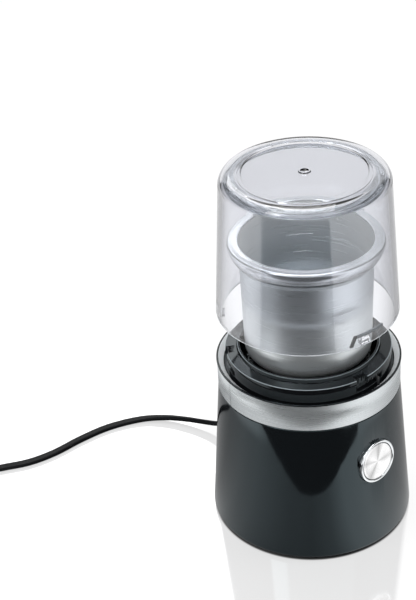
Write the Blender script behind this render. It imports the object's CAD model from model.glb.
import math

import bmesh
import bpy
from mathutils import Matrix, Vector


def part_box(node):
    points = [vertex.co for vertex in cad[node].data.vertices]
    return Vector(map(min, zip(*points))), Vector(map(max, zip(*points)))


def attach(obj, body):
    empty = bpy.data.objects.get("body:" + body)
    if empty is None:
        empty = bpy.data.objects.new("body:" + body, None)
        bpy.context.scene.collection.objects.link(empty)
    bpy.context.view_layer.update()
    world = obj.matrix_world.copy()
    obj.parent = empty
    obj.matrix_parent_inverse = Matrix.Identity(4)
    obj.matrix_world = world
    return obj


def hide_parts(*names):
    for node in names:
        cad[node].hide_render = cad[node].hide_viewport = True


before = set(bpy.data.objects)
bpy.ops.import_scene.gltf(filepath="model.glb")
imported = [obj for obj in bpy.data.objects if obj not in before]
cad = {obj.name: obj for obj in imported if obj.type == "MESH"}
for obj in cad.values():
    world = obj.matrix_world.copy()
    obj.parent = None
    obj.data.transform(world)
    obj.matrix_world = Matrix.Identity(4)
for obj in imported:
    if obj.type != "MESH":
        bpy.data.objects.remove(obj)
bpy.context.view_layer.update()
MM = 0.001

# ---- Camera ----
# A long lens looks down on the button's left, with the grinder right of the middle and slightly
# rolled. Angles are in degrees, and the lens is in millimetres on a sensor 36 mm long.
LENS = 84
EYE = Vector((-0.4006, -0.4372, 0.491))
AZIMUTH, YAW, PITCH, ROLL = (math.radians(a) for a in (-42.5, -4.76, 31.56, 3.75))

forward = Matrix.Rotation(AZIMUTH, 3, "Z") @ Vector(
    (math.sin(YAW) * math.cos(PITCH), math.cos(YAW) * math.cos(PITCH), -math.sin(PITCH))
)
level_right = forward.cross(Vector((0, 0, 1))).normalized()
level_up = level_right.cross(forward)
camera_right = level_right * math.cos(ROLL) - level_up * math.sin(ROLL)
camera_up = level_up * math.cos(ROLL) + level_right * math.sin(ROLL)
bpy.ops.object.camera_add()
camera = bpy.context.object
camera.data.lens = LENS
camera.data.sensor_width = 36
camera.data.clip_start = 0.01
camera.matrix_world = Matrix.Translation(EYE) @ Matrix(
    (camera_right, camera_up, -forward)
).transposed().to_4x4()
bpy.context.scene.camera = camera
bpy.context.scene.view_settings.view_transform = "Standard"

# ---- Mains lead ----
# A flat two-core PVC lead, 4.8 by 2.8 mm, extruded round its cores and black with a soft shine.
# It leaves the back of the base, runs to the left along the table and is wound into a coil.
LEAD_W, LEAD_T = 4.8, 2.8
ROUTE = [
    (0, 66, 11.4), (0, 71, 10.2), (-1.5, 78, 6.8), (-4.5, 87, 4.8), (-9, 97, 3.6), (-16, 108, 2.5),
    (-27, 118, 1.6), (-45, 125, 1.4), (-64, 127, 1.4), (-82, 127, 1.4), (-98, 130, 1.4),
    (-113, 137, 1.4), (-132, 144.4, 1.4), (-145, 149.4, 1.4), (-157, 152.9, 1.4),
]
ROUTE_ROLL = [0, 15, 30, 35, 30, 20, 8, 0, 0, 0, 0, 0, 0, 0, 0]
COIL_MID = (-172.9, 119.2)
COIL_START = 100
COIL_R, COIL_PITCH, COIL_STEP, COIL_TURNS = 34.5, LEAD_W + 1.5, LEAD_T + 1, 2.375
PLUG_T, PLUG_LEAD = 13.7, 22
COIL_IN = COIL_TURNS * 360
COIL_ALL = 2 * COIL_IN + 180


def coil_point(turned):
    """The lead's middle after this many degrees from the coil's start: in, up, and out again."""
    spiral = max(COIL_IN - turned, turned - COIL_IN - 180, 0)
    radius = COIL_R - COIL_TURNS * COIL_PITCH + COIL_PITCH * spiral / 360
    climb = min(max((turned - COIL_IN) / 180, 0), 1)
    a = math.radians(COIL_START + turned)
    height = LEAD_T / 2 + COIL_STEP * climb * climb * (3 - 2 * climb)
    x, y = COIL_MID
    return Vector((x + radius * math.cos(a), y + radius * math.sin(a), height))


def through(points, parts):
    """A smooth line through the points, with this many steps from each to the next."""
    ends = [points[0] * 2 - points[1]] + list(points) + [points[-1] * 2 - points[-2]]
    line = []
    for p0, p1, p2, p3 in zip(ends, ends[1:], ends[2:], ends[3:]):
        for i in range(parts):
            t = i / parts
            line.append(
                (p1 * 2 + (p2 - p0) * t + (p0 * 2 - p1 * 5 + p2 * 4 - p3) * t**2
                 + (p1 * 3 - p0 - p2 * 3 + p3) * t**3) / 2
            )
    return line + [points[-1]]


run_way = Vector((-math.sin(math.radians(COIL_START)), math.cos(math.radians(COIL_START)), 0))
PLUG_TURN = math.radians(COIL_START + COIL_ALL + 90)
plug_way = Vector((math.cos(PLUG_TURN), math.sin(PLUG_TURN), 0))
coil_end = coil_point(COIL_ALL)
plug_entry = coil_end + plug_way * PLUG_LEAD
plug_entry.z = PLUG_T / 2
lead_points = [Vector(p) for p in ROUTE] + [coil_point(0) - run_way * k * LEAD_W for k in (2, 1)]
lead_points += [coil_point(15 * k) for k in range(int(COIL_ALL // 15) + 1)]
lead_points += [coil_end + plug_way * LEAD_W, plug_entry - plug_way * LEAD_W, plug_entry]
LEAD_PARTS = 4
lead_line = [p * MM for p in through(lead_points, LEAD_PARTS)]
flat_part = [Vector((0, 0, 0))] * (len(lead_points) - len(ROUTE))
rolls = [Vector((a, 0, 0)) for a in ROUTE_ROLL] + flat_part
lead_rolls = [math.radians(v.x) for v in through(rolls, LEAD_PARTS)]


def flat_section(width, thick, count=20):
    """Points round a flat lead: two half rounds joined by a web."""
    section = []
    for k in range(count):
        a = 2 * math.pi * (k + 0.5) / count
        side = math.copysign((width - thick) / 2, math.cos(a))
        section.append((side + thick / 2 * math.cos(a), thick / 2 * math.sin(a)))
    return section


def add_object(name, mesh):
    """Puts a mesh into the scene as an object at the origin."""
    piece = bpy.data.objects.new(name, mesh)
    bpy.context.collection.objects.link(piece)
    return piece


def sweep(name, line, turned, section):
    """A closed tube of that section along the line, as a mesh object at the origin."""
    mesh = bmesh.new()
    rings = []
    for i, p in enumerate(line):
        along = (line[min(i + 1, len(line) - 1)] - line[max(i - 1, 0)]).normalized()
        side = along.cross(Vector((0, 0, 1))).normalized()
        over = side.cross(along)
        wide = side * math.cos(turned[i]) - over * math.sin(turned[i])
        thick = side * math.sin(turned[i]) + over * math.cos(turned[i])
        rings.append([mesh.verts.new(p + wide * x * MM + thick * y * MM) for x, y in section])
    count = len(section)
    for near, far in zip(rings, rings[1:]):
        for k in range(count):
            mesh.faces.new((near[k], near[(k + 1) % count], far[(k + 1) % count], far[k]))
    mesh.faces.new(list(reversed(rings[0])))
    mesh.faces.new(rings[-1])
    bmesh.ops.recalc_face_normals(mesh, faces=mesh.faces)
    made = bpy.data.meshes.new(name)
    mesh.to_mesh(made)
    mesh.free()
    made.shade_smooth()
    return add_object(name, made)


# Most of a noise's values lie between these two.
NOISE_SPREAD = (0.3, 0.7)


def linear(colour):
    """An sRGB hex colour as linear red, green, blue and an alpha of 1."""
    parts = [int(colour[i : i + 2], 16) / 255 for i in (1, 3, 5)]
    return [c / 12.92 if c <= 0.04045 else ((c + 0.055) / 1.055) ** 2.4 for c in parts] + [1]


def add_node(tree, kind, inputs=None, **options):
    """Adds a shader node with its options, and its inputs from values or other nodes' sockets."""
    made = tree.nodes.new("ShaderNode" + kind)
    for name, value in options.items():
        setattr(made, name, value)
    for name, value in (inputs or {}).items():
        if isinstance(value, bpy.types.NodeSocket):
            tree.links.new(value, made.inputs[name])
        else:
            made.inputs[name].default_value = value
    return made


def calc(tree, operation, *terms):
    """The result of one Math node, whose terms are numbers or sockets."""
    return add_node(tree, "Math", dict(enumerate(terms)), operation=operation).outputs["Value"]


def vector_calc(tree, operation, *terms):
    """The result of one Vector Math node: a number for a dot product or a length."""
    made = add_node(tree, "VectorMath", dict(enumerate(terms)), operation=operation)
    return made.outputs["Value" if operation in ("DOT_PRODUCT", "LENGTH") else "Vector"]


def remap(tree, value, before=(0, 1), after=(0, 1)):
    """A value carried from one range to another, held at its ends."""
    ends = zip(("From Min", "From Max", "To Min", "To Max"), (*before, *after))
    return add_node(tree, "MapRange", {"Value": value, **dict(ends)}).outputs["Result"]


def mix_colours(tree, share, first, second):
    """The first colour where the share is 0 and the second where it is 1."""
    return add_node(tree, "Mix", {0: share, 6: first, 7: second}, data_type="RGBA").outputs[2]


def object_place(tree):
    """The place on the object, in metres."""
    return add_node(tree, "TexCoord").outputs["Object"]


def start_material(name, colour, roughness, settings=None):
    """A material with one Principled shader; returns the material, its node tree and the shader."""
    material = bpy.data.materials.new(name)
    material.use_nodes = True
    shader = material.node_tree.nodes["Principled BSDF"]
    values = {"Base Color": linear(colour), "Roughness": roughness, **(settings or {})}
    for key, value in values.items():
        shader.inputs[key].default_value = value
    return material, material.node_tree, shader


def rough_noise(tree, shader, noise, depth, rough):
    """Uses noise as bump of this depth in millimetres, and as roughness between two ends if given."""
    bump = {"Strength": 1, "Distance": depth * MM, "Height": noise}
    tree.links.new(add_node(tree, "Bump", bump).outputs["Normal"], shader.inputs["Normal"])
    if rough:
        tree.links.new(remap(tree, noise, NOISE_SPREAD, rough), shader.inputs["Roughness"])


def add_grain(tree, shader, size, depth, rough=None, stretch=(1, 1, 1), detail=3):
    """Adds noise of this size in millimetres, drawn out where stretch is less than 1."""
    scale = [k / (size * MM) for k in stretch]
    mapped = add_node(tree, "Mapping", {"Scale": scale, "Vector": object_place(tree)})
    inputs = {"Scale": 1, "Detail": detail, "Vector": mapped.outputs["Vector"]}
    rough_noise(tree, shader, add_node(tree, "TexNoise", inputs).outputs["Fac"], depth, rough)


def grained(name, colour, roughness, settings, *grain, **more):
    """A material that needs nothing but its grain, which is given as add_grain takes it."""
    material, tree, shader = start_material(name, colour, roughness, settings)
    add_grain(tree, shader, *grain, **more)
    return material


def dress(piece, material):
    """Gives a piece this material alone."""
    piece.data.materials.clear()
    piece.data.materials.append(material)


def fit(piece, material, body, slot, *nodes):
    """Gives a piece its material, body and slot, and lets it stand for the CAD nodes named."""
    dress(piece, material)
    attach(piece, body)
    if nodes:
        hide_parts(*nodes)


# Soft PVC, extruded: a dull black skin with a broad soft shine and a very fine ripple along it.
pvc_black = grained(
    "extruded_pvc_black", "#07080a", 0.3, {"IOR": 1.53, "Specular IOR Level": 0.09},
    1.6, 0.012, (0.26, 0.38),
)
mains_lead = sweep("mains_lead", lead_line, lead_rolls, flat_section(LEAD_W, LEAD_T))
fit(mains_lead, pvc_black, "base", "lead_black", "mains_cord", "cord_coil")

# ---- Bend relief ----
# A moulded PVC sleeve, snapped into the housing's wall round the lead: a head, then a taper cut by
# rings, so that it bends with the lead. A profile that closes on its axis stops just short of it.
AXIS = 0.01
# Points of a turned piece that lie this close together become one, in metres.
TURN_MERGE = 0.000002


def arc(middle, radius, first, last, count=6):
    """Points of an arc from one angle to another, in degrees."""
    angles = [math.radians(first + (last - first) * i / count) for i in range(count + 1)]
    return [(middle[0] + radius * math.cos(a), middle[1] + radius * math.sin(a)) for a in angles]


def oblong(near, far, low, high):
    """A rectangular profile between two radii and two heights."""
    return [(near, low), (far, low), (far, high), (near, high)]


def select_mesh():
    """Selects the whole edited mesh."""
    bpy.ops.mesh.select_all(action="SELECT")


def turn(name, profile, steps=160, start=0, sweep_deg=360, place=None, smooth=32):
    """Turns a closed profile of radii and heights, in millimetres, about Z and puts it in place."""
    bpy.ops.mesh.primitive_plane_add(size=MM)
    piece = bpy.context.object
    piece.name = name
    bpy.ops.object.mode_set(mode="EDIT")
    select_mesh()
    bpy.ops.mesh.merge(type="CENTER")
    direction = Vector((math.cos(math.radians(start)), math.sin(math.radians(start)), 0))
    points = [direction * r * MM + Vector((0, 0, z * MM)) for r, z in profile]
    bpy.ops.transform.translate(value=points[0])
    for here, after in zip(points, points[1:]):
        bpy.ops.mesh.extrude_region_move(TRANSFORM_OT_translate={"value": after - here})
    mesh = bmesh.from_edit_mesh(piece.data)
    mesh.edges.new([v for v in mesh.verts if len(v.link_edges) == 1])
    bmesh.update_edit_mesh(piece.data)
    select_mesh()
    bpy.ops.mesh.spin(
        steps=steps, angle=-math.radians(sweep_deg), center=(0, 0, 0), axis=(0, 0, 1),
        use_auto_merge=True,
    )
    select_mesh()
    bpy.ops.mesh.remove_doubles(threshold=TURN_MERGE)
    if sweep_deg < 360:
        bpy.ops.mesh.fill_holes(sides=0)
    select_mesh()
    bpy.ops.mesh.normals_make_consistent(inside=False)
    bpy.ops.object.mode_set(mode="OBJECT")
    if place:
        piece.data.transform(place)
    piece.matrix_world = Matrix.Identity(4)
    bpy.ops.object.shade_smooth_by_angle(angle=math.radians(smooth))
    return piece


relief_low, relief_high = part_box("strain_relief")
RELIEF_END = relief_high.y / MM
RELIEF_HEAD = RELIEF_END - 13.7
relief_z = (relief_low.z + relief_high.z) / 2
TAIL_R, TAIL_LENGTH, HEAD_R, HEAD_EDGE = 3.8, 6.5, 5.1, 0.5
RINGS, RING_PITCH, RING_CUT, RING_R, RING_TAPER, RING_EDGE = 5, 2.4, 0.75, 4.4, 0.27, 0.25
relief_profile = [
    (AXIS, RELIEF_HEAD - TAIL_LENGTH), (TAIL_R, RELIEF_HEAD - TAIL_LENGTH), (TAIL_R, RELIEF_HEAD),
    *arc((HEAD_R, RELIEF_HEAD + HEAD_EDGE + 0.1), HEAD_EDGE, -90, 90),
]
for ring in range(RINGS):
    ring_low = RELIEF_HEAD + 1.5 + ring * RING_PITCH
    ring_r = RING_R - RING_TAPER * ring
    relief_profile += [(ring_r - RING_CUT, ring_low), (ring_r - RING_CUT, ring_low + 0.7)]
    relief_profile += arc((ring_r - RING_EDGE, ring_low + 0.95), RING_EDGE, -90, 0, 2)
    edge_z = ring_low + RING_PITCH - RING_EDGE
    relief_profile += arc((ring_r - RING_EDGE - 0.05, edge_z), RING_EDGE, 0, 90, 2)
relief_profile += [(3.0, RELIEF_END - 0.2), (2.8, RELIEF_END), (AXIS, RELIEF_END)]
along_y = Matrix.Translation((0, 0, relief_z)) @ Matrix.Rotation(math.radians(-90), 4, "X")
bend_relief = turn("bend_relief", relief_profile, steps=40, place=along_y)
fit(bend_relief, pvc_black, "base", "lead_black", "strain_relief")

# ---- Plug ----
# A flat two-pin plug, moulded in PVC onto the lead: a wedge of a body with a grip on each side,
# two sleeved pins, and no earth.


def box_piece(name, length, width, thick):
    """A block from the origin along +X, centred on Y and Z and left in edit mode."""
    bpy.ops.mesh.primitive_cube_add(size=1)
    piece = bpy.context.object
    piece.name = name
    size = Matrix.Diagonal((length, width, thick, 1))
    piece.data.transform(Matrix.Translation((length / 2, 0, 0)) @ size)
    bpy.ops.object.mode_set(mode="EDIT")
    return piece


def slice_mesh(place, normal):
    """Adds edges where a plane crosses the mesh that is being edited."""
    select_mesh()
    bpy.ops.mesh.bisect(plane_co=place, plane_no=normal)


def apply_modifier(piece, kind, **settings):
    """Adds a modifier with these settings and applies it."""
    bpy.ops.object.select_all(action="DESELECT")
    piece.select_set(True)
    bpy.context.view_layer.objects.active = piece
    modifier = piece.modifiers.new(kind.lower(), kind)
    for key, value in settings.items():
        setattr(modifier, key, value)
    bpy.ops.object.modifier_apply(modifier=modifier.name)


def bevel(piece, width, segments, sharp, smooth):
    """Rounds the edges over one angle and shades the faces under another, both in degrees."""
    apply_modifier(
        piece, "BEVEL", width=width * MM, segments=segments, limit_method="ANGLE",
        angle_limit=math.radians(sharp),
    )
    bpy.ops.object.shade_smooth_by_angle(angle=math.radians(smooth))


PLUG_LENGTH, PLUG_WIDTH = 36 * MM, 35.3 * MM
# Where the wedge changes its slope, and its half width and half thickness at the lead's end and
# at the first of these places.
NECK_AT, SHOULDER_AT, FACE_AT = 9 * MM, 22 * MM, PLUG_LENGTH - 4 * MM
NOSE_HALF, NECK_HALF = (3.8 * MM, 3.4 * MM), (6.5 * MM, 4.6 * MM)
plug_body = box_piece("flat_plug", PLUG_LENGTH, PLUG_WIDTH, PLUG_T * MM)
for along in (NECK_AT, SHOULDER_AT, FACE_AT):
    slice_mesh((along, 0, 0), (1, 0, 0))
bpy.ops.object.mode_set(mode="OBJECT")
for vertex in plug_body.data.vertices:
    x, y, z = vertex.co
    if x < NECK_AT + 1 * MM:
        half_y, half_z = NOSE_HALF if x < 1 * MM else NECK_HALF
        vertex.co.y = math.copysign(half_y, y)
        vertex.co.z = math.copysign(half_z, z)
    elif x < SHOULDER_AT + 1 * MM:
        vertex.co.y = math.copysign(PLUG_WIDTH / 2 - 2 * MM, y)
bevel(plug_body, 1.6, 4, 20, 40)
plug_place = Matrix.Translation(plug_entry * MM) @ Matrix.Rotation(PLUG_TURN, 4, "Z")
plug_body.data.transform(plug_place)

# Moulded PVC: the same black, with the fine even grain of an eroded mould.
pvc_moulded = grained("moulded_pvc_black", "#101113", 0.42, {"IOR": 1.53}, 0.5, 0.02, (0.36, 0.5))
fit(plug_body, pvc_moulded, "base", "lead_black", "plug_body")

PIN_R, PIN_LENGTH, PIN_PITCH, SLEEVE_LENGTH = 2.0, 19, 18.6, 10
BARE_R, TIP_R, SLEEVE_EDGE = PIN_R - 0.12, 1.1, 0.3
pin_profile = [(AXIS, SLEEVE_LENGTH - 1), (BARE_R, SLEEVE_LENGTH - 1), (BARE_R, PIN_LENGTH - 1.2)]
pin_profile += arc((BARE_R - TIP_R, PIN_LENGTH - TIP_R), TIP_R, 0, 90, 6) + [(AXIS, PIN_LENGTH)]
sleeve_profile = [(AXIS, 0), (PIN_R, 0), (PIN_R, SLEEVE_LENGTH - SLEEVE_EDGE)]
sleeve_profile += [(PIN_R - 0.2, SLEEVE_LENGTH), (AXIS, SLEEVE_LENGTH)]
# Nickel-plated brass: a warm pale metal, drawn smooth and rubbed along its length.
nickel_brass = grained(
    "nickel_plated_brass", "#cfc8b8", 0.2, {"Metallic": 1}, 0.4, 0.004, (0.16, 0.28), (0.1, 1, 1)
)
sleeve_parts = []
for side, hand in ((-1, "left"), (1, "right")):
    pin_root = Matrix.Translation((PLUG_LENGTH, side * PIN_PITCH / 2 * MM, 0))
    pin_place = plug_place @ pin_root @ Matrix.Rotation(math.radians(90), 4, "Y")
    pin = turn("plug_pin_" + hand, pin_profile, steps=32, place=pin_place)
    sleeve = turn("pin_sleeve_" + hand, sleeve_profile, steps=32, place=pin_place)
    fit(pin, nickel_brass, "base", "bronze", "plug_pins")
    fit(sleeve, pvc_black, "base", "lead_black")
    sleeve_parts += [pin, sleeve]

# ---- Table, sky and lamps ----
# A white glossy table in a white room. Seen straight or through the lid it is plain white; in the
# glossy housing and the steel it is darker in front of the grinder and brightest on the right.
SKY_FILL, TABLE_WHITE = 0.6, 1.06
TABLE_SHINE, TABLE_SHADOW, TABLE_ROUGH = 0.27, 0.16, 0.07
TABLE_COLOUR = (0.85, 0.85, 0.86, 1)
# How bright the steel and the housing find the table, by direction from the grinder's axis in
# degrees, from the camera's side towards the right.
GLOW_NEAR = [
    (-180, 0.2), (-125, 0.22), (-98, 0.28), (-76, 0.64), (-55, 0.7), (-36, 0.5), (-19, 0.3),
    (0, 0.26), (15, 0.5), (30, 1.3), (50, 1.4), (70, 0.95), (90, 0.52), (115, 0.3), (180, 0.22),
]
GLOW_FAR = [
    (-180, 0.5), (-140, 0.6), (-110, 1.3), (-85, 1.6), (-58, 1.6), (-42, 0.7), (-20, 0.35),
    (0, 0.35), (20, 0.8), (34, 1.5), (55, 1.5), (78, 1.35), (98, 0.75), (124, 0.5), (180, 0.5),
]
NEAR_R, FAR_R = 160, 172
# The same for the clear lid: white straight behind, and dark to both sides, which draws outlines.
LID_GLOW = [
    (-180, 1.06), (-164, 1.06), (-152, 0.35), (-132, 0.35), (-114, 1.5), (-90, 2.0), (-56, 2.0),
    (-42, 0.8), (-20, 0.5), (0, 0.5), (20, 1.1), (32, 2.0), (55, 2.0), (78, 1.9), (98, 0.9),
    (116, 0.3), (152, 0.35), (164, 1.06), (180, 1.06),
]
FOOTPRINT = 51.5


def round_ramp(tree, aside, ahead, stops):
    """A value that follows the bearing of two lengths, between stops of (degrees, value up to 2)."""
    bearing = calc(tree, "ARCTAN2", aside, ahead)
    ramp = add_node(tree, "ValToRGB", {"Fac": remap(tree, bearing, (-math.pi, math.pi))})
    made = ramp.color_ramp.elements
    made[0].position, made[1].position = 0, 1
    for degrees, value in stops[1:-1]:
        made.new(degrees / 360 + 0.5)
    for stop, (degrees, value) in zip(made, stops):
        stop.color = (value / 2, value / 2, value / 2, 1)
    return calc(tree, "MULTIPLY", ramp.outputs["Color"], 2)


def seen_directly(tree):
    """1 for rays that see a thing straight, in a mirror or through glass, and 0 for its light."""
    rays = add_node(tree, "LightPath").outputs
    first = calc(tree, "MAXIMUM", rays["Is Camera Ray"], rays["Is Glossy Ray"])
    return calc(tree, "MAXIMUM", first, rays["Is Transmission Ray"])


world = bpy.data.worlds.new("white_room")
bpy.context.scene.world = world
world.use_nodes = True
tree = world.node_tree
strength = remap(tree, seen_directly(tree), after=(SKY_FILL, 1))
tree.links.new(strength, tree.nodes["Background"].inputs["Strength"])
tree.nodes["Background"].inputs["Color"].default_value = (1, 1, 1, 1)

away = Vector((math.sin(-AZIMUTH), math.cos(-AZIMUTH), 0))
across = Vector((away.y, -away.x, 0))
bpy.ops.mesh.primitive_plane_add(size=6)
table = bpy.context.object
table.name = "white_table"
white_gloss = bpy.data.materials.new("white_table_gloss")
white_gloss.use_nodes = True
tree = white_gloss.node_tree
tree.nodes.remove(tree.nodes["Principled BSDF"])
place = object_place(tree)
aside = vector_calc(tree, "DOT_PRODUCT", place, across)
ahead = vector_calc(tree, "DOT_PRODUCT", place, -away)
rays = add_node(tree, "LightPath").outputs
from_axis = vector_calc(tree, "LENGTH", place)
glows = [round_ramp(tree, aside, ahead, stops) for stops in (GLOW_NEAR, GLOW_FAR, LID_GLOW)]
in_steel = remap(tree, from_axis, (NEAR_R * MM, FAR_R * MM), glows[:2])
bright = remap(tree, rays["Is Glossy Ray"], after=(TABLE_WHITE, in_steel))
bright = remap(tree, rays["Is Transmission Ray"], after=(bright, glows[2]))
# Under the base there is no light, so its foot ends in a thin black gap.
open_table = remap(tree, from_axis, (FOOTPRINT * MM, (FOOTPRINT + 1) * MM))
bright = calc(tree, "MULTIPLY", bright, open_table)
white = add_node(tree, "Emission", {"Strength": bright}).outputs["Emission"]
matt = add_node(tree, "BsdfDiffuse", {"Color": TABLE_COLOUR}).outputs["BSDF"]
shine = add_node(tree, "BsdfGlossy", {"Roughness": TABLE_ROUGH}).outputs["BSDF"]
lit = calc(tree, "MULTIPLY", seen_directly(tree), 1 - TABLE_SHADOW)
surface = add_node(tree, "MixShader", {0: lit, 1: matt, 2: white}).outputs["Shader"]
gloss = calc(tree, "MULTIPLY", rays["Is Camera Ray"], TABLE_SHINE)
surface = add_node(tree, "MixShader", {0: gloss, 1: surface, 2: shine}).outputs["Shader"]
tree.links.new(surface, tree.nodes["Material Output"].inputs["Surface"])
table.data.materials.append(white_gloss)

# Black cards that only mirrors and the clear lid see. One lies on the table in front of the picture
# and gives the housing and the steel their dark middle; two stand at the sides and draw the lid's
# dark outlines. Places are across and towards the camera, in millimetres.
CARD_EDGE = [
    (-600, 405), (-230, 155), (-150, 106), (-129, 118), (-97, 126), (-70, 128), (-43, 124),
    (-22, 117), (0, 116), (24, 117), (48, 121), (71, 125), (100, 121), (132, 108), (152, 112),
    (112, 152), (104, 180), (120, 208), (260, 450), (0, 620), (-400, 620),
]
CARD_Z = 0.5
SIDE_AT, SIDE_NEAR, SIDE_AWAY, SIDE_LOW, SIDE_HIGH = 330, 260, -420, 150, 700
CARD_GLOW = 0.05
card_black, tree, shader = start_material(
    "card_black", "#050505", 0.5,
    {"Specular IOR Level": 0, "Emission Color": linear("#ffffff"), "Emission Strength": CARD_GLOW},
)


def black_card(name, corners):
    """A flat black card with these corners, given across, towards the camera and up."""
    mesh = bpy.data.meshes.new(name)
    points = [(across * x - away * y + Vector((0, 0, z))) * MM for x, y, z in corners]
    mesh.from_pydata(points, [], [range(len(points))])
    mesh.materials.append(card_black)
    card = add_object(name, mesh)
    for kind in ("camera", "diffuse", "shadow", "volume_scatter"):
        setattr(card, "visible_" + kind, False)


black_card("front_card", [(x, y, CARD_Z) for x, y in CARD_EDGE])
for side in (-SIDE_AT, SIDE_AT):
    corners = oblong(SIDE_NEAR, SIDE_AWAY, SIDE_LOW, SIDE_HIGH)
    black_card("side_card_%d" % (side > 0), [(side, y, z) for y, z in corners])


# All lamps aim at the middle of the base.
LAMP_AIM = Vector((0, 0, 0.1))


def softbox(name, place, size, watts):
    """A square area lamp, with its place and size in metres."""
    bpy.ops.object.light_add(type="AREA", location=place)
    lamp = bpy.context.object
    lamp.name = name
    lamp.data.shape = "SQUARE"
    lamp.data.size = size
    lamp.data.energy = watts
    lamp.rotation_euler = (LAMP_AIM - Vector(place)).to_track_quat("-Z", "Y").to_euler()


softbox("left_softbox", (-0.9, 0.15, 0.9), 0.7, 7)
softbox("right_softbox", (0.75, -0.6, 0.9), 0.6, 6)
softbox("back_softbox", (0.25, 0.9, 1.1), 0.8, 5)
softbox("top_softbox", (0.05, 0.1, 1.2), 0.7, 9)

# ---- Housing ----
# The motor's cone-shaped cover, injection moulded in ABS and left glossy from a polished mould.
# It has a hole for the button and one for the lead, and a neck that carries the steel band.
housing_low, housing_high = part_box("housing_shell")
band_low, band_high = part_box("trim_band")
EDGE_R, BAND_R = housing_high.x / MM, band_high.y / MM
SKIRT_Z, NECK_TOP = housing_low.z / MM, housing_high.z / MM
BAND_Z, BAND_TOP = band_low.z / MM, band_high.z / MM
WALL, EDGE_ROUND, HIP_ROUND = 2.4, 1.4, 0.5
FLARE = EDGE_R - BAND_R
CONE_TILT = math.degrees(math.atan(FLARE / (BAND_Z - SKIRT_Z)))


def cone_r(z):
    """The housing's outer radius at a height."""
    return EDGE_R - FLARE * (z - SKIRT_Z) / (BAND_Z - SKIRT_Z)


NECK_R, NECK_T = BAND_R - 0.9, 2.2
hip_z = BAND_Z - 0.05
housing_profile = [
    (cone_r(SKIRT_Z) - WALL, SKIRT_Z),
    *arc((cone_r(SKIRT_Z) - EDGE_ROUND, SKIRT_Z + EDGE_ROUND), EDGE_ROUND, -90, 0, 8),
    *((cone_r(z), z) for z in (20, 40, 60)),
    *arc((BAND_R - HIP_ROUND, hip_z - HIP_ROUND), HIP_ROUND, 4, 90),
    (NECK_R, hip_z), (NECK_R, NECK_TOP), (NECK_R - NECK_T, NECK_TOP), (NECK_R - NECK_T, BAND_Z),
    (BAND_R - WALL, BAND_Z - 1.6),
]
housing_piece = turn("motor_housing", housing_profile, steps=256, smooth=28)


def cut(piece, cutter, how="DIFFERENCE"):
    """Cuts one piece by another, or joins them, and drops the cutter."""
    apply_modifier(piece, "BOOLEAN", object=cutter, operation=how, solver="EXACT")
    bpy.data.objects.remove(cutter)


BUTTON_Z = 51
button_turn = Matrix.Rotation(math.radians(90 - CONE_TILT), 4, "X")
button_place = Matrix.Translation((0, -cone_r(BUTTON_Z) * MM, BUTTON_Z * MM)) @ button_turn
bezel_low, bezel_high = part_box("button_bezel")
FLANGE_W, SLIP, LEAD_HOLE_R = 2, 0.3, 3.9
BEZEL_R = (bezel_high.x - bezel_low.x) / 2 / MM - FLANGE_W
button_hole = oblong(AXIS, BEZEL_R + SLIP, -8, 6)
cut(housing_piece, turn("button_hole", button_hole, steps=96, place=button_place))
lead_hole = oblong(AXIS, LEAD_HOLE_R, 40, 60)
cut(housing_piece, turn("lead_hole", lead_hole, steps=48, place=along_y))
apply_modifier(housing_piece, "WEIGHTED_NORMAL", keep_sharp=True)

# Gloss ABS, anthracite: a near-black moulding with a clear mirror-like shine that carries the room.
# The faint ripple is the shrink of a moulded wall; hairline wear spreads the shine a little.
abs_gloss = grained(
    "gloss_abs_anthracite", "#0b0d0f", 0.06,
    {"IOR": 1.54, "Specular IOR Level": 0.52, "Specular Tint": (0.7, 0.92, 1.0, 1)},
    14, 0.006, (0.05, 0.09), detail=1,
)
fit(housing_piece, abs_gloss, "base", "housing", "housing_shell")

# ---- Trim band ----
# A strip of stainless steel, brushed along its length, rolled to a ring and clipped round the neck.
# Its two ends meet in a fine upright seam at the back left.
BAND_T, BAND_GAP, SEAM_AT, SEAM_DEG, BAND_EDGE = 0.8, 0.22, 170, 0.45, 0.18
band_profile = []
band_in, band_out = BAND_R - BAND_T + BAND_EDGE, BAND_R - BAND_EDGE
corners = oblong(band_in, band_out, BAND_Z + BAND_GAP + BAND_EDGE, BAND_TOP - BAND_EDGE)
for middle, first in zip(corners, (180, 270, 0, 90)):
    band_profile += arc(middle, BAND_EDGE, first, first + 90, 3)
steel_band = turn(
    "steel_trim_band", band_profile, steps=256, start=SEAM_AT + SEAM_DEG / 2, sweep_deg=360 - SEAM_DEG
)


# How much of a brushed steel's shine is metal; the rest is a grey haze over its fine lines.
METAL_SHARE = 0.84
# A streak's height as a share of its length round the piece.
STREAK_DRAW = 0.008


def round_brushed(name, colour, rough, streak, depth, drawn):
    """Steel brushed round Z: streaks of this height in millimetres, and a shine drawn out upright."""
    settings = {"Metallic": METAL_SHARE, "Anisotropic": drawn}
    material, tree, shader = start_material(name, colour, sum(rough) / 2, settings)
    add_grain(tree, shader, streak, depth, rough, (STREAK_DRAW, STREAK_DRAW, 1), 2)
    round_way = vector_calc(tree, "CROSS_PRODUCT", (0, 0, 1), object_place(tree))
    tree.links.new(round_way, shader.inputs["Tangent"])
    return material, tree, shader


# Stainless steel 1.4301, brushed: a neutral grey metal whose fine lines draw each light upright.
brushed_band = round_brushed("brushed_stainless_band", "#ccd1d3", (0.26, 0.3), 0.3, 0.0004, 0.95)[0]
fit(steel_band, brushed_band, "base", "band_steel", "trim_band")

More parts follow.
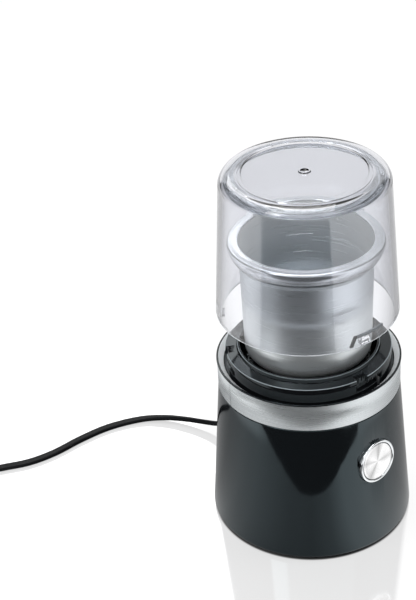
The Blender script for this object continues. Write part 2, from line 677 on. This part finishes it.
# ---- Deck ----
# The black ABS moulding on top of the base: a rim over the band, a sloping seat for the lid, a
# groove, a plateau with bayonet slots in its wall, and a lip round the cup's well.
deck_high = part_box("deck")[1]
RIM_R = deck_high.x / MM
RIM_Z = BAND_TOP + 0.75
PLATEAU_R, PLATEAU_Z = 42.0, RIM_Z + 5.8
GROOVE_Z = RIM_Z - 3.1
WELL_R, WELL_FLOOR = 34.6, RIM_Z - 8.9
LIP_TOP = deck_high.z / MM
DECK_T, DECK_NECK_T, PLATEAU_T, DECK_EDGE, RIM_EDGE = 2.2, 2.45, 2.8, 0.5, 0.35
SHAFT_HOLE_R = 7
rim_foot, deck_in = BAND_TOP + 0.05, NECK_R - DECK_NECK_T
well_out, shell_in = WELL_R + DECK_T, PLATEAU_R - PLATEAU_T
deck_profile = [
    (deck_in, NECK_TOP), (NECK_R, NECK_TOP), (NECK_R, rim_foot), (RIM_R, rim_foot),
    *arc((RIM_R - RIM_EDGE, RIM_Z - RIM_EDGE), RIM_EDGE, 0, 90),
    (RIM_R - 0.95, RIM_Z), (PLATEAU_R + 1.2, GROOVE_Z + 0.3),
    (PLATEAU_R + 0.9, GROOVE_Z), (PLATEAU_R, GROOVE_Z), (PLATEAU_R, GROOVE_Z + 2),
    *arc((PLATEAU_R - DECK_EDGE, PLATEAU_Z - DECK_EDGE), DECK_EDGE, 0, 90),
    (WELL_R + 1.9, PLATEAU_Z + 0.4),
    *arc((WELL_R + 2 * DECK_EDGE, LIP_TOP - DECK_EDGE), DECK_EDGE, 0, 90),
    *arc((WELL_R + DECK_EDGE, LIP_TOP - DECK_EDGE), DECK_EDGE, 90, 180),
    (WELL_R, WELL_FLOOR + 1), (WELL_R - 1, WELL_FLOOR), (SHAFT_HOLE_R, WELL_FLOOR),
    (SHAFT_HOLE_R, WELL_FLOOR - DECK_T), (well_out, WELL_FLOOR - DECK_T),
    (well_out, PLATEAU_Z - DECK_T), (shell_in, PLATEAU_Z - DECK_T),
    (shell_in, GROOVE_Z - DECK_T), (deck_in, GROOVE_Z - DECK_T),
]
deck_piece = turn("black_deck", deck_profile, steps=256, smooth=28)

# Each slot is an upright entry and a level hook, into which a lug turns. Angles are in degrees.
LUGS, LUG_AT, LUG_ARC, LOCK_TURN, SLOT_MARGIN = 3, -94.5, 7, 16, 1.2
SLOT_IN, SLOT_LOW, SLOT_TOP = 40.8, RIM_Z - 0.5, RIM_Z + 2.1
KEYS, KEY_ARC, KEY_DEEP, KEY_HIGH, WELD = 3, 6, 2, 5.5, 0.2
slot_half = LUG_ARC / 2 + SLOT_MARGIN
for i in range(LUGS):
    first = LUG_AT + 360 * i / LUGS
    entry = oblong(SLOT_IN, PLATEAU_R + 1, SLOT_LOW, PLATEAU_Z + 1)
    cut(deck_piece, turn("slot", entry, steps=6, start=first - slot_half, sweep_deg=2 * slot_half))
    hook = oblong(SLOT_IN, PLATEAU_R + 1, SLOT_LOW, SLOT_TOP)
    cut(deck_piece, turn("slot", hook, steps=10, start=first, sweep_deg=LOCK_TURN + slot_half))
# Keys in the well hold the cup's foot, so that it can't turn.
key = oblong(WELL_R - KEY_DEEP, WELL_R + WELD, WELL_FLOOR - WELD, WELL_FLOOR + KEY_HIGH)
for i in range(KEYS):
    first = 360 * i / KEYS - KEY_ARC / 2
    cut(deck_piece, turn("key", key, steps=4, start=first, sweep_deg=KEY_ARC), "UNION")
apply_modifier(deck_piece, "WEIGHTED_NORMAL", keep_sharp=True)

# Black ABS with a satin-to-gloss mould finish: deep black, with a thin bright line on each edge.
DECK_COLOUR = "#0c0d0f"
abs_black, tree, shader = start_material(
    "polished_abs_black", DECK_COLOUR, 0.08,
    {"IOR": 1.54, "Specular IOR Level": 0.28, "Specular Tint": (0.78, 0.94, 1.0, 1)},
)
add_grain(tree, shader, 5, 0.004, (0.06, 0.12), detail=1)
# The sloping seat inside the rim is satin silver, and the two upper edges are rubbed bright. Each
# zone is a pair of radii, a pair of heights and a colour.
DECK_ZONES = [
    (43.3, 46.05, GROOVE_Z + 0.4, RIM_Z - 0.05, "#f0f3f5"),
    (PLATEAU_R - 0.34, PLATEAU_R - 0.04, PLATEAU_Z - 0.32, PLATEAU_Z + 0.1, "#7f878b"),
    (WELL_R + 1.16, WELL_R + 1.42, LIP_TOP - 0.35, LIP_TOP + 0.1, "#6a7276"),
]
place = object_place(tree)
out = vector_calc(tree, "LENGTH", vector_calc(tree, "MULTIPLY", place, (1, 1, 0)))
height = add_node(tree, "SeparateXYZ", {"Vector": place}).outputs["Z"]
deck_colour = linear(DECK_COLOUR)
for near, far, low, high, colour in DECK_ZONES:
    in_ring = calc(tree, "COMPARE", out, (near + far) / 2 * MM, (far - near) / 2 * MM)
    in_layer = calc(tree, "COMPARE", height, (low + high) / 2 * MM, (high - low) / 2 * MM)
    zone = calc(tree, "MULTIPLY", in_ring, in_layer)
    deck_colour = mix_colours(tree, zone, deck_colour, linear(colour))
tree.links.new(deck_colour, shader.inputs["Base Color"])
fit(deck_piece, abs_black, "base", "deck_black", "deck")

# ---- Button ----
# The push button: a turned aluminium cap, spun so that its fine rings catch the light in a cross,
# in a polished chrome ring that is clamped through the housing from inside.
PROUD, BEZEL_W, BEZEL_DEEP, FLANGE_LOW, FLANGE_TOP = 1.2, 1.3, -7, -6.6, -5.2
bezel_in, flange_r, half_w = BEZEL_R - BEZEL_W, BEZEL_R + FLANGE_W, BEZEL_W / 2
bezel_profile = [
    (bezel_in, BEZEL_DEEP), (BEZEL_R, BEZEL_DEEP), (BEZEL_R, FLANGE_LOW), (flange_r, FLANGE_LOW),
    (flange_r, FLANGE_TOP), (BEZEL_R, FLANGE_TOP), (BEZEL_R, -1),
    *arc((BEZEL_R - half_w, PROUD - half_w), half_w, 0, 180, 10),
]
bezel_piece = turn("chrome_bezel", bezel_profile, steps=128, place=button_place)
# Chrome over ABS: mirror bright, cool white, with only a trace of haze.
chrome = grained("polished_chrome", "#e6e9eb", 0.05, {"Metallic": 1}, 2, 0.001, (0.04, 0.08))
fit(bezel_piece, chrome, "base", "bezel_chrome", "button_bezel")

CAP_R, CAP_DEEP, CAP_EDGE, DISH = bezel_in - SLIP, -4, 0.5, 0.4
cap_profile = [
    (AXIS, CAP_DEEP), (CAP_R, CAP_DEEP), (CAP_R, PROUD - 0.9),
    *arc((CAP_R - CAP_EDGE, PROUD - 0.75), CAP_EDGE, 0, 90, 5), (CAP_R - 1.3, PROUD - 0.25),
    (CAP_R - 1.5, PROUD - 0.33), (CAP_R / 2, PROUD - 0.38), (AXIS, PROUD - DISH),
]
cap_piece = turn("spun_button_cap", cap_profile, steps=128, place=button_place)
# Spun aluminium, clear anodised: rings of 0.3 mm about the button's middle, drawn coarser than the
# real turning marks so that they show, and a shine drawn out along the radius.
RING_SIZE, RING_DEPTH, RING_ROUGH = 0.3, 0.006, (0.2, 0.34)
spun_alu, tree, shader = start_material(
    "spun_aluminium", "#d9dbdc", 0.26, {"Metallic": 1, "Anisotropic": 0.8}
)
cap_right, cap_up, cap_out = (button_place.to_3x3() @ axis for axis in Matrix.Identity(3))
from_middle = vector_calc(tree, "SUBTRACT", object_place(tree), button_place.to_translation())
ring_way = vector_calc(tree, "CROSS_PRODUCT", cap_out, from_middle)
tree.links.new(ring_way, shader.inputs["Tangent"])
ring_place = add_node(tree, "CombineXYZ", {"X": vector_calc(tree, "LENGTH", ring_way)})
inputs = {"Scale": 1 / (RING_SIZE * MM), "Detail": 2, "Vector": ring_place.outputs["Vector"]}
rings = add_node(tree, "TexNoise", inputs).outputs["Fac"]
rough_noise(tree, shader, rings, RING_DEPTH, RING_ROUGH)
# A cap turned in a lathe shows its lamps as rays from the middle: broad white ones, with narrow
# grey ones between them at the top, at both sides and at the lower left.
RAYS = [
    (-180, 0.9), (-150, 0.8), (-128, 0.5), (-108, 0.85), (-60, 1.0), (-25, 0.9), (0, 0.6),
    (20, 0.85), (60, 0.95), (82, 0.5), (100, 0.8), (140, 1.0), (165, 0.65), (180, 0.9),
]
over, beside = (vector_calc(tree, "DOT_PRODUCT", from_middle, way) for way in (cap_up, cap_right))
ray = round_ramp(tree, over, beside, RAYS)
ray_colour = add_node(tree, "CombineColor", {"Red": ray, "Green": ray, "Blue": ray})
tree.links.new(ray_colour.outputs["Color"], shader.inputs["Base Color"])
fit(cap_piece, spun_alu, "button", "button_alu", "button_cap")

# ---- Cup ----
# The grinding cup: a pot deep-drawn from stainless steel, brushed while it turns, with a collar
# of polished steel rolled over its mouth and curved back to the wall.
POT_Z, CUP_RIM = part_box("cup_shell")[0].z / MM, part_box("cup_collar")[1].z / MM
COLLAR_Z, COLLAR_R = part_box("cup_collar")[0].z / MM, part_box("cup_collar")[1].x / MM
CUP_R, CUP_TOP_R, CUP_T, CORNER, BUSH_HOLE_R = 32.1, 33.0, 0.8, 6, 6
LIP_IN = CUP_TOP_R + 0.1
corner_middle = (CUP_R - CORNER, POT_Z + CORNER)
pot_profile = [
    (BUSH_HOLE_R, POT_Z), *arc(corner_middle, CORNER, -90, 0, 16), (CUP_TOP_R, COLLAR_Z),
    (CUP_TOP_R + 0.9, CUP_RIM - CUP_T), (LIP_IN, CUP_RIM - CUP_T), (CUP_TOP_R - CUP_T, COLLAR_Z),
    *arc(corner_middle, CORNER - CUP_T, 0, -90, 16), (BUSH_HOLE_R, POT_Z + CUP_T),
]
pot_piece = turn("drawn_steel_pot", pot_profile, steps=256)
# Stainless steel, spun and brushed round: soft upright bands of light and dark, with fine lines.
POT_COLOUR = "#dbe0e2"
spun_steel, tree, shader = round_brushed(
    "spun_stainless_cup", POT_COLOUR, (0.27, 0.31), 0.3, 0.0002, 0.93
)
# Inside, the wall is bright near the rim and darkens towards the blade, where it is worn and dull.
WORN_COLOUR, BRIGHT_COLOUR, WORN_DOWN, BRIGHT_DOWN = "#c2c7ca", "#fbfcfc", 46, 14
coords = add_node(tree, "TexCoord").outputs
outside = vector_calc(tree, "MULTIPLY", coords["Object"], (1, 1, 0))
inward = calc(tree, "LESS_THAN", vector_calc(tree, "DOT_PRODUCT", outside, coords["Normal"]), 0)
height = add_node(tree, "SeparateXYZ", {"Vector": coords["Object"]}).outputs["Z"]
worn = remap(tree, height, ((CUP_RIM - WORN_DOWN) * MM, (CUP_RIM - BRIGHT_DOWN) * MM))
wear = mix_colours(tree, worn, linear(WORN_COLOUR), linear(BRIGHT_COLOUR))
pot_colour = mix_colours(tree, inward, linear(POT_COLOUR), wear)
tree.links.new(pot_colour, shader.inputs["Base Color"])
fit(pot_piece, spun_steel, "cup", "cup_steel", "cup_shell")

BEND = 1.1
collar_under = through(
    [Vector((r, z, 0)) for r, z in (
        (COLLAR_R, CUP_RIM - BEND), (COLLAR_R - 0.6, CUP_RIM - 4), (COLLAR_R - 2.2, CUP_RIM - 7.5),
        (CUP_TOP_R + 1.4, COLLAR_Z + 1.5), (CUP_TOP_R + 0.2, COLLAR_Z),
    )], 6,
)
LIP_EDGE, TOP_DIP = 0.5, 0.12
bend_middle = (COLLAR_R - BEND, CUP_RIM - BEND)
collar_profile = [
    (LIP_IN, CUP_RIM - CUP_T), *arc((LIP_IN + LIP_EDGE, CUP_RIM - LIP_EDGE), LIP_EDGE, 180, 90, 5),
    (LIP_IN + 1.6, CUP_RIM - TOP_DIP), (COLLAR_R - 2.6, CUP_RIM - TOP_DIP),
    *arc(bend_middle, BEND, 100, 0, 8), *((p.x, p.y) for p in collar_under[1:]),
    (CUP_TOP_R + 0.05, COLLAR_Z + 0.3),
    *((p.x - 0.75, p.y) for p in reversed(collar_under[4:-3])),
    *arc(bend_middle, BEND - CUP_T, 0, 90, 4),
]
collar_piece = turn("rolled_steel_collar", collar_profile, steps=256)
# The same steel, polished after rolling: the reflections are sharper and the edges white.
rolled_steel = round_brushed("polished_stainless_collar", "#dadddf", (0.17, 0.2), 0.4, 0.0002, 0.5)[0]
fit(collar_piece, rolled_steel, "cup", "cup_steel", "cup_collar")

# ---- Fill marks ----
# Two short level lines, stamped into the pot's wall from inside, opposite the button: how far each
# is below the rim, and half its arc in degrees.
MARK_AT, MARK_RISE, MARK_SINK, MARK_HALF = 52, 0.18, 0.1, 0.35
wall_lean = (CUP_TOP_R - CUP_R) / (COLLAR_Z - POT_Z - CORNER)
for below, half_arc in ((17, 11), (27, 8)):
    height = CUP_RIM - below
    wall_r = CUP_TOP_R - CUP_T - wall_lean * (COLLAR_Z - height)
    foot_r = wall_r + MARK_SINK
    line = [(wall_r - MARK_RISE, height), (foot_r, height - MARK_HALF), (foot_r, height + MARK_HALF)]
    first = MARK_AT - half_arc
    mark = turn("fill_mark_%d" % height, line, steps=24, start=first, sweep_deg=2 * half_arc)
    fit(mark, rolled_steel, "cup", "cup_steel")

# ---- Cup foot, bush and coupling ----
# Under the pot sits a moulded foot with keyways, which carries the blade's bearing bush.
CAD_MERGE = 0.000001


def smooth_copy(node, name, body, slot, material):
    """A CAD node's own shape with its loose triangles merged and its round faces shaded smooth."""
    bpy.ops.object.select_all(action="DESELECT")
    piece = add_object(name, cad[node].data.copy())
    piece.select_set(True)
    bpy.context.view_layer.objects.active = piece
    bpy.ops.object.mode_set(mode="EDIT")
    select_mesh()
    bpy.ops.mesh.remove_doubles(threshold=CAD_MERGE)
    bpy.ops.object.mode_set(mode="OBJECT")
    bpy.ops.object.shade_smooth_by_angle(angle=math.radians(30))
    fit(piece, material, body, slot, node)


smooth_copy("cup_foot", "moulded_cup_foot", "cup", "plastic_black", abs_black)

# Sintered bronze: a dull warm metal with open pores, soaked with oil.
bronze = grained("sintered_bronze", "#9a7b45", 0.42, {"Metallic": 1}, 0.35, 0.03, (0.35, 0.55))
# Grey silicone: soft, matt and slightly see-through at its edges.
silicone = grained(
    "grey_silicone", "#7d8589", 0.5,
    {"IOR": 1.42, "Subsurface Weight": 0.08, "Subsurface Radius": (2 * MM, 2 * MM, 2 * MM)},
    0.8, 0.01, (0.45, 0.58),
)
# White acetal: a hard slippery plastic with a waxy half gloss.
acetal = grained(
    "white_acetal", "#dcd8cc", 0.35, {"IOR": 1.48, "Subsurface Weight": 0.05}, 1.2, 0.01, (0.3, 0.42)
)
# Bright steel, drawn or turned: mirror-like with fine scratches across.
bright_steel = grained(
    "turned_steel", "#b9bcbe", 0.24, {"Metallic": 1}, 0.4, 0.004, (0.18, 0.32), (0.1, 0.1, 1)
)
smooth_copy("cup_bush", "bearing_bush", "cup", "bronze", bronze)
smooth_copy("shaft_seal", "blade_shaft_seal", "cup", "seal_grey", silicone)
smooth_copy("cup_coupling", "driven_coupling", "blade", "plastic_white", acetal)
smooth_copy("drive_coupling", "driving_coupling", "rotor", "plastic_white", acetal)
smooth_copy("blade_shaft", "turned_blade_shaft", "blade", "steel", bright_steel)

# ---- Blade ----
# One strip of hardened stainless steel: a hub and two wings, one bent up and one down, each
# ground to an edge along its leading side. A domed nut holds it on the shaft.
BLADE_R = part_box("chopping_blade")[1].x
BLADE_T, WING_ROOT, WING_W, BLADE_Z = 1.2 * MM, 5 * MM, 11 * MM, 100.7 * MM
UP_SLOPE, DOWN_SLOPE = 11, -7
WING_TAPER, TIP_SHARE, TIP_CUT, EDGE_FROM, EDGE_T = 0.28, 0.26, 0.7, 0.4, 0.2
blade_piece = box_piece("two_wing_blade", 2 * BLADE_R, WING_W, BLADE_T)
for along in (0.12, 0.3, 0.4, 0.6, 0.7, 0.88):
    slice_mesh((2 * BLADE_R * along, 0, 0), (1, 0, 0))
for beside in (-0.24, 0.24):
    slice_mesh((0, WING_W * beside, 0), (0, 1, 0))
bpy.ops.object.mode_set(mode="OBJECT")
for vertex in blade_piece.data.vertices:
    x = vertex.co.x - BLADE_R
    wing = math.copysign(1, x)
    out = max(abs(x) - WING_ROOT, 0)
    lead_side = vertex.co.y * wing
    taper = 1 - WING_TAPER * out / (BLADE_R - WING_ROOT)
    tip = max(0, 1 - (BLADE_R - abs(x)) / (TIP_SHARE * BLADE_R))
    y = lead_side * taper - max(0, lead_side) * TIP_CUT * tip
    if lead_side > EDGE_FROM * WING_W and out > 0:
        vertex.co.z *= EDGE_T
    slope = math.tan(math.radians(UP_SLOPE if wing > 0 else DOWN_SLOPE))
    vertex.co = Vector((x, y * wing, vertex.co.z + BLADE_Z + BLADE_T / 2 + out * slope))
bevel(blade_piece, 0.15, 2, 40, 30)
# Hardened stainless steel, ground: brushed along the wing, bright and slightly cool.
blade_steel = grained(
    "ground_blade_steel", "#c3c7c9", 0.2, {"Metallic": 1}, 0.3, 0.006, (0.16, 0.3), (0.05, 1, 1)
)
fit(blade_piece, blade_steel, "blade", "cup_steel", "chopping_blade")
smooth_copy("blade_nut", "domed_nut", "blade", "steel", bright_steel)

# ---- Lid ----
# A bell injection moulded in clear SAN: a thick rounded shoulder, a shallow recess with the mark
# of the gate, and at its foot bayonet lugs and an L-shaped rib.
lid_low, lid_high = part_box("lid_shell")
LID_Z, LID_TOP = lid_low.z / MM, lid_high.z / MM
LID_TOP_R, LID_FOOT_R, LID_T, SHOULDER = 41.3, lid_high.x / MM, 2.3, 6
LID_UNDER = LID_TOP - 2.8
RECESS_R, RECESS_D, RECESS_EDGE, CHAMFER = 30, 0.8, 0.3, 1.2
IN_ROUND = SHOULDER - LID_T
SEAL_IN, HOLDER_H = LIP_IN + 0.6, 1.8
RIB_RISE, FLARE_IN = 6.4, (LID_FOOT_R - LID_TOP_R) / (LID_TOP - SHOULDER - LID_Z - CHAMFER)
above_rib = (LID_FOOT_R - FLARE_IN * (RIB_RISE + 2 - CHAMFER), LID_Z + RIB_RISE + 2)
# The gate's mark is a raised ring round a small dip: radii, and heights from the recess's floor.
GATE = [(3.1, 0), (2.8, 0.5), (2.1, 0.5), (1.7, -0.1), (0.9, -0.35), (AXIS, -0.4)]
gate_z = LID_TOP - RECESS_D
lid_profile = [
    (LID_FOOT_R - LID_T, LID_Z), (LID_FOOT_R - CHAMFER, LID_Z), (LID_FOOT_R, LID_Z + CHAMFER),
    above_rib, *arc((LID_TOP_R - SHOULDER, LID_TOP - SHOULDER), SHOULDER, 0, 90, 20),
    (RECESS_R + 0.7, LID_TOP),
    *arc((RECESS_R + 0.5, LID_TOP - RECESS_EDGE), RECESS_EDGE, 90, 180, 4),
    (RECESS_R, gate_z), *((r, gate_z + z) for r, z in GATE), (AXIS, LID_UNDER),
    # A low ring under the lid's top holds the sealing ring from inside.
    (SEAL_IN - 1.5, LID_UNDER), (SEAL_IN - 1.5, LID_UNDER - HOLDER_H),
    (SEAL_IN - 0.4, LID_UNDER - HOLDER_H), (SEAL_IN - 0.4, LID_UNDER),
    *arc((LID_TOP_R - LID_T - IN_ROUND, LID_UNDER - IN_ROUND), IN_ROUND, 90, 0, 14),
    (above_rib[0] - LID_T, above_rib[1]),
]
lid_piece = turn("clear_lid", lid_profile, steps=256, smooth=35)
LUG_IN, LUG_H, LUG_LOW, IN_WALL = 41.1, 2.0, LID_Z + 0.9, LID_FOOT_R - LID_T
lug = oblong(LUG_IN, IN_WALL + 0.4, LUG_LOW, LUG_LOW + LUG_H)
for i in range(LUGS):
    first = LUG_AT - LUG_ARC / 2 + 360 * i / LUGS
    cut(lid_piece, turn("lug", lug, steps=6, start=first, sweep_deg=LUG_ARC), "UNION")
apply_modifier(lid_piece, "WEIGHTED_NORMAL", keep_sharp=True)

# Styrene-acrylonitrile, clear: glass-like with a trace of grey, thin and bright on its edges.
# It lets the lamps' light through to the cup, as the thin real wall does.
LID_TINT = (0.93, 0.94, 0.94, 1)
clear_san, tree, shader = start_material(
    "clear_san", "#e4e5e9", 0.0, {"IOR": 1.5, "Transmission Weight": 1.0}
)
add_grain(tree, shader, 22, 0.004, detail=1)
shadow_ray = add_node(tree, "LightPath").outputs["Is Shadow Ray"]
through_lid = add_node(tree, "BsdfTransparent", {"Color": LID_TINT}).outputs["BSDF"]
lid_surface = add_node(tree, "MixShader", {0: shadow_ray, 1: shader.outputs["BSDF"], 2: through_lid})
tree.links.new(lid_surface.outputs["Shader"], tree.nodes["Material Output"].inputs["Surface"])
fit(lid_piece, clear_san, "lid", "lid_clear", "lid_shell")

# The end stop of the rib, seen on edge, is so thick that it looks black: smoked plastic. It leans,
# so that the lid runs up onto it as it turns. Angles are in degrees.
RIB_IN, RIB_T, STOP_Z, STOP_LEAN, STOP_ARC = 42.35, 1.3, LID_Z + 1, 3.2, 2.2
RIB_FIRST, RIB_LAST = LUG_AT - LUG_ARC / 2 - 8, LUG_AT + LUG_ARC / 2 + 12
rib_top = LID_Z + RIB_RISE
stop = oblong(RIB_IN, IN_WALL + 0.1, STOP_Z, rib_top)
smoked = grained("smoked_stop", "#08090a", 0.3, {"IOR": 1.5}, 0.8, 0.006, (0.15, 0.25))
stop_piece = turn("rib_end_stop", stop, steps=3, start=RIB_FIRST, sweep_deg=STOP_ARC)
for vertex in stop_piece.data.vertices:
    climb = (vertex.co.z / MM - STOP_Z) / (rib_top - STOP_Z)
    vertex.co = Matrix.Rotation(math.radians(STOP_LEAN * climb), 3, "Z") @ vertex.co
fit(stop_piece, smoked, "lid", "lid_clear")
# The long rib starts at the stop's top and runs along the wall.
rib_grey = grained(
    "rib_seen_on_edge", "#6f767b", 0.15, {"IOR": 1.5, "Transmission Weight": 0.3},
    0.8, 0.006, (0.1, 0.2),
)
long_rib = oblong(RIB_IN, IN_WALL + 0.2, rib_top - RIB_T, rib_top)
rib_from = RIB_FIRST + STOP_LEAN + 1.8
rib_arc = RIB_LAST - rib_from
rib_piece = turn("rib_along_the_wall", long_rib, steps=20, start=rib_from, sweep_deg=rib_arc)
fit(rib_piece, rib_grey, "lid", "lid_clear")
# The foot's lower edge gathers light from the whole wall and shows it as a thin white line.
EDGE_LINE_R = 0.28
edge_line = arc((LID_FOOT_R - CHAMFER - 0.15, LID_Z + 0.5), EDGE_LINE_R, 0, 330, 11)
lit_edge = grained("edge_lit_san", "#eef1f3", 0.3, {"IOR": 1.5}, 3, 0.002, (0.25, 0.35))
fit(turn("lit_foot_edge", edge_line, steps=192), lit_edge, "lid", "lid_clear")

# ---- Sealing ring ----
# A moulded silicone ring pressed up under the lid's top; its two lips seal on the cup's collar.
seal_low, seal_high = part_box("lid_seal")
SEAL_Z, SEAL_OUT, SEAL_H, LIP_R, LIP_AT = seal_low.z / MM - 0.1, seal_high.x / MM, 3.3, 0.7, 0.8
seal_profile = [
    (SEAL_IN, SEAL_Z + 0.6), *arc((SEAL_IN + LIP_AT, SEAL_Z + LIP_AT), LIP_R, 200, 340),
    (SEAL_OUT - 1.7, SEAL_Z + 0.9), *arc((SEAL_OUT - LIP_AT, SEAL_Z + LIP_AT), LIP_R, 200, 340),
    (SEAL_OUT, SEAL_Z + 2.1), (SEAL_OUT - 0.6, SEAL_Z + 2.8),
    (SEAL_OUT - 1.9, SEAL_Z + SEAL_H), (SEAL_IN, SEAL_Z + SEAL_H),
]
seal_piece = turn("silicone_seal_ring", seal_profile, steps=192)
# Silicone left in its natural colour: milky and translucent, with a soft shine.
clear_silicone = grained(
    "natural_silicone", "#d3d7da", 0.06, {"IOR": 1.41, "Transmission Weight": 0.95},
    9, 0.004, detail=1,
)
fit(seal_piece, clear_silicone, "seal", "seal_grey", "lid_seal")

# ---- Underside ----
# The moulded base plate with its air slots, four rubber feet pressed into it and four screws.
# Matt black ABS from an eroded mould: even, fine and dull.
abs_matt = grained("grained_abs_black", "#1c1e20", 0.5, {"IOR": 1.54}, 0.6, 0.03, (0.45, 0.6))
# Black rubber: dull and slightly dusty on its rounded edges.
rubber = grained("moulded_rubber", "#151515", 0.7, {"IOR": 1.52}, 0.7, 0.04, (0.62, 0.8))
smooth_copy("base_plate", "moulded_base_plate", "base", "plastic_black", abs_matt)
smooth_copy("rubber_feet", "pressed_rubber_feet", "base", "rubber_black", rubber)
smooth_copy("base_screws", "base_plate_screws", "base", "steel", bright_steel)

# ---- Inside the base ----
# Motor, switches and wiring are the CAD solids themselves, each in its own material.
# Enamelled copper wire: dark red-brown, with the ribbed shine of wires side by side.
copper = grained(
    "enamelled_copper", "#8a4424", 0.3, {"Metallic": 0.8}, 0.5, 0.08, (0.22, 0.4), (1, 1, 0.2)
)
# Stacked motor laminations: blue-grey steel with a line every half millimetre.
laminated = grained(
    "stacked_laminations", "#6b7076", 0.45, {"Metallic": 1}, 0.5, 0.05, (0.38, 0.55), (0.02, 0.02, 1)
)
# Carbon: matt, near black and slightly metallic.
carbon = grained("pressed_carbon", "#1a1a1b", 0.55, {"IOR": 1.8}, 0.3, 0.02, (0.48, 0.62))
INNER = {
    abs_matt: "switch_bracket grind_switch interlock_bracket interlock_switch cord_clamp button_stem"
              " interlock_pin",
    acetal: "switch_plunger interlock_plunger cooling_fan terminal_block",
    bright_steel: "interlock_spring high_bracket low_bracket motor_bolts mount_screws deck_screws"
                  " motor_shaft clamp_screws",
    laminated: "stator_core armature_core",
    copper: "field_coils armature_winding commutator",
    bronze: "high_bearing low_bearing brush_holders",
    carbon: "carbon_brushes",
    rubber: "rubber_mounts well_seal",
    pvc_black: "cord_tail",
}
for material, nodes in INNER.items():
    for node in nodes.split():
        dress(cad[node], material)
